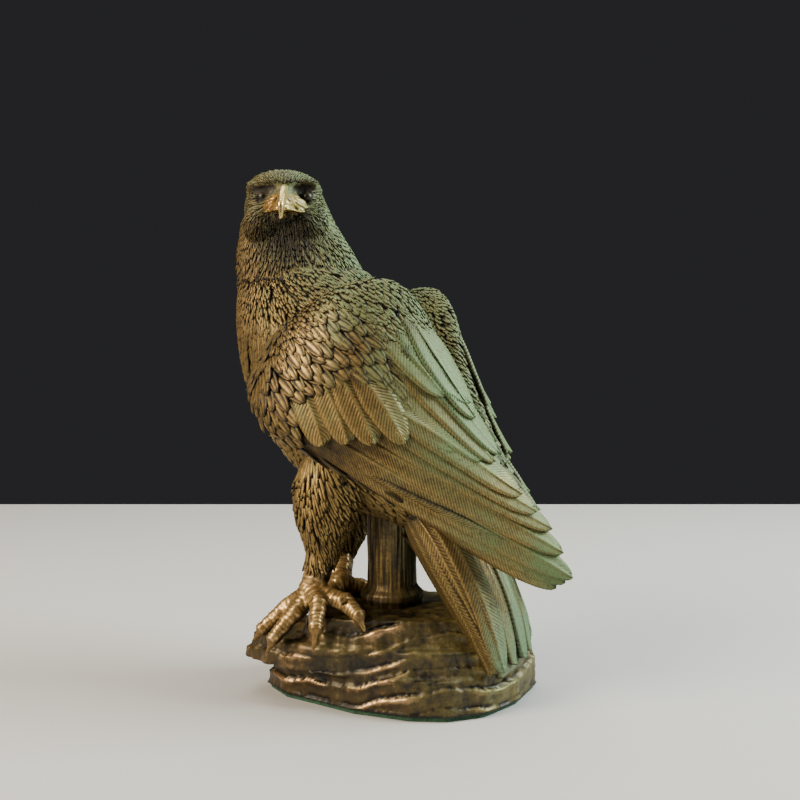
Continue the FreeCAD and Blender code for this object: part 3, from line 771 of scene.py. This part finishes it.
def beak_shape(point, normal):
    """A ridge brightened by a painted highlight where it does not face back, nostrils, creased corners, and a
    dark line where the halves of the beak meet.
    """
    # The ridge term is a painted highlight, full on faces turned forward or sideways above the gape.
    ridge = math.exp(-((point.x - BEAK_X) / 0.7) ** 2) * (1.0 if normal.y < 0.2 and point.z > 90.5 else 0.3)
    gape = math.exp(-((point.z - 92.2 - 0.10 * abs(point.x - BEAK_X)) / 0.30) ** 2)
    gape *= step(-5.0, -4.2, point.y)
    nostril = sum(math.exp(-((point - Vector((BEAK_X + side * 1.5, -3.6, 95.0))).length / 0.6) ** 2)
                  for side in (-1, 1))
    off = step(1.0, 2.4, abs(point.x - BEAK_X))
    fan = math.atan2(point.z - 96.0, abs(point.x - BEAK_X))
    lines = math.sin(fan * 26.0 + 2.0 * noise.noise(point * 0.8)) * off
    rise = mix(0.60, 0.36, off) + 0.5 * ridge + 0.16 * lines - 0.7 * gape - 0.8 * nostril
    return 0.07 * lines - 0.45 * gape - 0.35 * nostril, min(max(rise, 0.0), 1.0)


sculpt(beak_bm, beak_shape)
place_piece("beak", beak_bm, beak_bronze)
eye_bm = bmesh.new()
for eye in EYES:
    lump(eye_bm, eye + Vector((0.0, 1.15, 0.0)), (1.05, 1.05, 1.05))
# The upper half of each eye is raised in relief, so coloured brighter: a painted highlight.
sculpt(eye_bm, lambda point, normal: (0.0, 0.12 + 0.35 * step(-0.2, 0.9, normal.z)))
eye_bronze = bronze("eye_bronze", (0.004, 0.003, 0.002), (0.060, 0.034, 0.016), (0.260, 0.160, 0.080),
                    (0.050, 0.055, 0.020), 0.0, 0.30)
place_piece("eyes", eye_bm, eye_bronze)

# --- Legs -----------------------------------------------------------------------------------
# Each leg is one casting, studded down to the rock. The thigh wears narrow hanging feathers, the
# shank and toes are scaled and rubbed to a gold shine that is painted brighter on the faces turned to
# the warm left lamp, and the claws grip the ledge.
# The knee, the ankle, and each toe's knuckle and claw.
FEET = {
    "left": (bird(-5.4, -10.0, 27.5), (-17.6, -4.4, 20.0), {
        "outer": ((-22.2, -4.4, 17.0), (-26.8, -5.6, 13.2)),
        "middle": ((-20.4, -7.4, 16.8), (-24.2, -9.8, 12.6)),
        "inner": ((-15.8, -9.6, 19.0), (-16.0, -13.6, 15.6)),
        "rear": ((-10.8, -9.2, 19.0), (-8.4, -12.2, 17.4)),
    }),
    "right": (bird(-9.0, 6.2, 23.5), (-13.0, 6.4, 18.6), {
        "outer": ((-16.6, 9.2, 17.6), (-19.4, 11.0, 14.0)),
        "middle": ((-17.8, 5.6, 17.4), (-21.0, 5.0, 13.6)),
        "inner": ((-15.8, 2.8, 17.8), (-18.8, 0.6, 16.0)),
        "rear": ((-8.8, 7.6, 18.0), (-6.0, 8.2, 17.4)),
    }),
}
TOE_RING_PITCH = 0.80
THIGH_FOOT, THIGH_TOP = 25.5, 50.0
foot_bronze = bronze("foot_bronze", (0.012, 0.007, 0.003), (0.190, 0.110, 0.032), (0.640, 0.440, 0.190),
                     (0.120, 0.120, 0.040), 0.05, 0.22)


def along_run(point, a, b):
    """Share of the way from a to b beside a point, and how far off the line the point is."""
    run = b - a
    share = (point - a).dot(run) / run.length_squared
    return share, (point - a.lerp(b, min(max(share, 0.0), 1.0))).length


leg_beds = {}
for side, (knee, ankle, toes) in FEET.items():
    ankle = Vector(ankle)
    runs = [(knee, ankle)]
    for knuckle, end in toes.values():
        runs += [(ankle, Vector(knuckle)), (Vector(knuckle), Vector(end))]
    leg_bm = castings(f"{side}_leg")
    lump(leg_bm, ankle + Vector((0.6, 0.0, -2.2)), (2.6, 2.6, 1.7))
    leg_bm = remeshed(leg_bm, 0.32)

    def scales(point, normal):
        """Cross ridges along the shank and the top of each toe, smooth on the thigh and the claws. The relief
        is painted bright on faces turned to the warm left lamp and dark on the others: painted light.
        """
        if point.z > knee.z + 1.5:
            return -0.1, 0.15
        nearest = min(runs, key=lambda run: along_run(point, *run)[1])
        (share, off), length = along_run(point, *nearest), (nearest[1] - nearest[0]).length
        if share > 1.12 or off > 3.4:
            return 0.0, 0.40
        wobble = noise.noise(point * 0.9)
        ridge = abs(math.sin((share * length + 0.35 * wobble) * math.pi / TOE_RING_PITCH))
        # Faces turned up, to the front and to the left, towards the warm left lamp: painted light in the
        # colour, and the side that carries the ridges.
        faces_left_lamp = step(-0.5, 0.5, normal.z - 0.5 * normal.y - 0.4 * normal.x)
        rise = (0.30 + 0.50 * ridge + 0.3 * wobble) * mix(0.1, 1.0, faces_left_lamp)
        return (0.16 * ridge - 0.10) * faces_left_lamp + 0.18 * wobble, rise

    sculpt(leg_bm, scales)
    leg_beds[side] = leg_bm


def thigh_flow(point):
    """Down the leg, and slanting back under the belly."""
    return Vector((mix(0.25, 0.95, step(-6.0, 4.0, point.x)), 0.0, -1.0))


def thigh_width(point, normal):
    """Narrow towards the shank, with an uneven lower edge."""
    if point.z < THIGH_FOOT + math.sin(point.y * 2.0) or point.z > THIGH_TOP:
        return None
    return mix(0.8, 1.35, step(27.0, 42.0, point.z))


lower_bed = bed_of("torso", "left_leg", "right_leg", voxel=0.7)
feathers_over("thigh_feathers", lower_bed, thigh_width, thigh_flow, shingle(2, 6, 2.6, 0.10, 0.24, 0.15),
              seed=31, aspect=4.4, spacing=0.62, tilt=0.07, tries=30000,
              relief_gain_at=lambda point: 1.1 + 0.10 * step(28.0, 44.0, point.z))
for side, leg_bm in leg_beds.items():
    place_piece(f"{side}_leg_casting", leg_bm, foot_bronze, f"{side}_leg")

# --- Tail -----------------------------------------------------------------------------------
# A solid fan doweled to the rump and pinned to the rock at its foot, with long ribbed feathers
# lying side by side on both faces.
TAIL_FEATHERS = 16
# The tail's cross sections in the bird's frame: x, z, tilt in degrees, half depth and half width.
TAIL_RINGS = [(9.5, 41.5, 34, 4.0, 7.0), (17.0, 30.0, 32, 6.4, 9.5), (24.5, 18.0, 27, 5.4, 10.8),
              (29.5, 7.6, 18, 2.4, 10.2)]
tail_bed = bed_of("tail", voxel=0.5)
tail_tree = BVHTree.FromBMesh(tail_bed)
tail_bed.free()


def beside_tail(ring, angle, away=1.25):
    """A place outside one ring of the tail, by angle from its left edge towards its upper face."""
    x, z, tilt, deep, wide = TAIL_RINGS[ring]
    tilt = math.radians(tilt)
    flat, out = -math.cos(angle) * wide * away, math.sin(angle) * deep * away
    return bird(x + out * math.cos(tilt), flat, z + out * math.sin(tilt))


tail_feathers = bmesh.new()
rng = random.Random(8)
for number in range(TAIL_FEATHERS):
    angle = math.tau * number / TAIL_FEATHERS
    angle += 0.30 * math.sin(2.0 * angle)
    root = tail_tree.find_nearest(beside_tail(0, angle))[0]
    tip = tail_tree.find_nearest(beside_tail(3, angle))[0]
    height = 0.25 + 0.45 * (number % 2)
    path = [beside_tail(ring, angle, 1.35) for ring in range(4)]
    feather = long_feather(tail_tree, root, tip, 2.5, bow=0.3, lift=(0.0, height), cross_tilt=0.22,
                           blunt=9.0, rib_pitch=0.62, rib=0.065, thick=0.9, tone=rng.random(), path=path)
    gather(tail_feathers, feather)
tail_bronze = bronze("tail_bronze", (0.008, 0.005, 0.002), (0.080, 0.050, 0.014), (0.250, 0.175, 0.060),
                     (0.155, 0.220, 0.100), 0.0, 0.08, 0.013, 80.0, 0.0)
place_piece("tail_feathers", tail_feathers, tail_bronze)
shrunk_casting("tail", 0.4, tail_bronze, shade=0.4)

# --- Stump ----------------------------------------------------------------------------------
# The bored post between the legs that carries the body, clamped by the tie rod. Its sides are
# grooved like bark, and it stands on a swollen ring.
stump_bronze = bronze("stump_bronze", (0.008, 0.006, 0.003), (0.075, 0.048, 0.014), (0.260, 0.180, 0.060),
                      (0.060, 0.090, 0.045), 0.10, 0.10, -0.003, 90.0, 0.0)
STUMP_AT = bird(5.0, 0.0, 0.0)
BORE_WALL = 2.2
# Radius and height round the post's wall, from the foot of the bore up the outside to its top.
STUMP_PROFILE = [(1.7, 14.8), (4.9, 14.8), (5.8, 16.6), (6.3, 17.6), (6.2, 18.6), (5.3, 19.4), (4.9, 20.2),
                 (4.8, 24.0), (4.9, 30.0), (4.8, 34.0), (4.3, 36.5), (3.0, 37.5), (1.7, 37.8)]
stump_bm = bmesh.new()
corners = [stump_bm.verts.new((STUMP_AT.x + r, STUMP_AT.y, z)) for r, z in STUMP_PROFILE]
ring = [stump_bm.edges.new(pair) for pair in zip(corners, corners[1:] + corners[:1])]
bmesh.ops.subdivide_edges(stump_bm, edges=ring, cuts=3)
bmesh.ops.spin(stump_bm, geom=stump_bm.verts[:] + stump_bm.edges[:], cent=STUMP_AT, axis=(0, 0, 1),
               angle=math.tau, steps=180, use_merge=True)
bmesh.ops.recalc_face_normals(stump_bm, faces=stump_bm.faces)


def bark(point, normal):
    """Upright grooves of uneven depth, fading out on the ring and inside the bore."""
    spoke = Vector((point.x - STUMP_AT.x, point.y - STUMP_AT.y))
    if spoke.length < BORE_WALL:
        return 0.0, 0.0
    angle = math.atan2(spoke.y, spoke.x)
    rough = noise.noise(Vector((angle * 9.0, point.z * 0.10, 0.0))) + 0.5 * noise.noise(
        Vector((angle * 26.0, point.z * 0.16, 4.0)))
    body = step(19.0, 21.5, point.z)
    lumps = noise.noise(point * 0.45)
    shift = 0.30 * rough * mix(0.3, 1.0, body) + 0.35 * lumps * (1.0 - body)
    return shift, min(max(0.45 + 0.7 * rough, 0.0), 1.0)


sculpt(stump_bm, bark)
place_piece("stump_post", stump_bm, stump_bronze, "stump")

# --- Rock -----------------------------------------------------------------------------------
# The hollow cast rock, open underneath. Its sides are wavy beds of stone that rise to the tail's
# side, with mossy shelves, dark clefts and a painted copper highlight along the ledge rims.
rock_bronze = bronze("rock_bronze", (0.004, 0.003, 0.001), (0.070, 0.044, 0.013), (0.520, 0.320, 0.160),
                     (0.155, 0.125, 0.030), 0.32, 0.24, 0.0, 9.0, 0.0)
rock_bm = bed_of("rock_base", voxel=0.42)
rock_tree = BVHTree.FromBMesh(rock_bm)
BED_THICKNESS = 3.1
FOOT_BAND = 1.2
DEEPEST = -1.2


def bed_noise(point, scale, seed):
    """Noise that changes half as fast upwards, as beds of stone do."""
    return noise.noise(Vector((point.x * scale, point.y * scale, point.z * scale * 0.5 + seed * 7.3)))


def stone(point, normal):
    """Beds that step in and out with height. The inside of the casting stays as it is."""
    outward = Vector((point.x, point.y, 0.0)).normalized()
    hit = rock_tree.ray_cast(point + normal * 0.05, mix(normal, outward, 0.3).normalized(), 60.0)[0]
    if hit is not None or point.z < FOOT_BAND:
        return 0.0, 0.1
    level = point.z - 0.13 * point.x + 2.6 * bed_noise(point, 0.060, 1) + 0.7 * bed_noise(point, 0.21, 2)
    level += 1.1 * noise.noise(Vector((0.0, 0.3, level * 0.35)))
    layer, part = divmod(level / BED_THICKNESS, 1.0)
    offset = 0.9 * noise.noise(Vector((layer * 3.7, point.x * 0.06, 0.4)))
    sharp = step(-0.25, 0.30, bed_noise(point, 0.11, 5))
    lip = step(0.40, 0.88, part) * (1.0 - step(0.94, 1.0, part))
    cleft = (1.0 - step(0.0, 0.16, part)) * (0.35 + 0.65 * sharp)
    steep = 1.0 - abs(normal.z) ** 2
    chips = bed_noise(point, 0.45, 3) * 0.34 + bed_noise(point, 1.3, 4) * 0.14
    shift = steep * (offset + 0.60 * lip * (0.4 + 0.6 * sharp) - 0.90 * cleft - 0.2) + chips
    # The lip term brightens the ledge rims: a painted copper highlight.
    rise = 0.32 + 0.62 * lip ** 3 * steep * sharp + 0.7 * chips - 0.45 * cleft * steep + 0.20 * offset
    return max(shift, DEEPEST), min(max(rise, 0.0), 1.0)


sculpt(rock_bm, stone)
bmesh.ops.smooth_vert(rock_bm, verts=rock_bm.verts, factor=0.25,
                      use_axis_x=True, use_axis_y=True, use_axis_z=True)
place_piece("rock", rock_bm, rock_bronze, "rock_base")

# --- Inner fixings and the underside --------------------------------------------------------
# The collar, pins and dowels are turned bronze, the studs, washers, nuts and tie rod are plain
# steel, the closing plate is sheet brass, and the pad under it is cut from wool felt.
WEAR_SPREAD = 0.08


def worked(name, light, dark, metallic, roughness, scale, depth):
    """A machined, brushed or fibrous finish: two shades mixed by a fine noise that also makes its bump."""
    material = bpy.data.materials.new(name)
    material.use_nodes = True
    nodes, links = material.node_tree.nodes, material.node_tree.links
    shader = nodes["Principled BSDF"]
    shader.inputs["Metallic"].default_value = metallic
    place = nodes.new("ShaderNodeTexCoord")
    stretch = nodes.new("ShaderNodeMapping")
    stretch.inputs["Scale"].default_value = scale
    grain = nodes.new("ShaderNodeTexNoise")
    grain.inputs["Scale"].default_value = 1000.0
    grain.inputs["Detail"].default_value = 5.0
    links.new(place.outputs["Object"], stretch.inputs["Vector"])
    links.new(stretch.outputs[0], grain.inputs["Vector"])
    ramp = nodes.new("ShaderNodeValToRGB")
    ramp.color_ramp.elements[0].position = 0.35
    ramp.color_ramp.elements[0].color = (*dark, 1.0)
    ramp.color_ramp.elements[1].position = 0.65
    ramp.color_ramp.elements[1].color = (*light, 1.0)
    links.new(grain.outputs["Fac"], ramp.inputs[0])
    links.new(ramp.outputs[0], shader.inputs["Base Color"])
    wear = nodes.new("ShaderNodeMapRange")
    wear.inputs["To Min"].default_value = roughness - WEAR_SPREAD
    wear.inputs["To Max"].default_value = roughness + WEAR_SPREAD
    links.new(grain.outputs["Fac"], wear.inputs["Value"])
    links.new(wear.outputs[0], shader.inputs["Roughness"])
    bump = nodes.new("ShaderNodeBump")
    bump.inputs["Strength"].default_value = 0.4
    bump.inputs["Distance"].default_value = depth
    links.new(grain.outputs["Fac"], bump.inputs["Height"])
    links.new(bump.outputs[0], shader.inputs["Normal"])
    return material


turned_bronze = worked("turned_bronze", (0.55, 0.36, 0.15), (0.30, 0.18, 0.07), 0.9, 0.42,
                       (1.0, 1.0, 4.0), 0.00003)
zinc_steel = worked("zinc_steel", (0.58, 0.58, 0.56), (0.36, 0.36, 0.35), 0.95, 0.38,
                    (1.0, 1.0, 4.0), 0.00002)
sheet_brass = worked("sheet_brass", (0.62, 0.46, 0.18), (0.38, 0.26, 0.09), 0.95, 0.40,
                     (0.2, 6.0, 1.0), 0.00002)
wool_felt = worked("wool_felt", (0.040, 0.105, 0.060), (0.012, 0.040, 0.022), 0.0, 0.92,
                   (2.0, 2.0, 2.0), 0.00020)
FINISHES = {
    turned_bronze: ("neck_collar", "neck_pins", "left_wing_dowels", "right_wing_dowels", "tail_dowels",
                    "left_thigh_dowel", "right_thigh_dowel", "tail_foot_pin"),
    zinc_steel: ("left_foot_stud", "left_foot_washer", "left_foot_nut", "right_foot_stud",
                 "right_foot_washer", "right_foot_nut", "tie_rod", "tie_rod_washer", "tie_rod_nut"),
    sheet_brass: ("base_plate", "base_plate_screws"),
    wool_felt: ("felt_pad",),
}
for finish, names in FINISHES.items():
    for name in names:
        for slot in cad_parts[name].material_slots:
            slot.material = finish
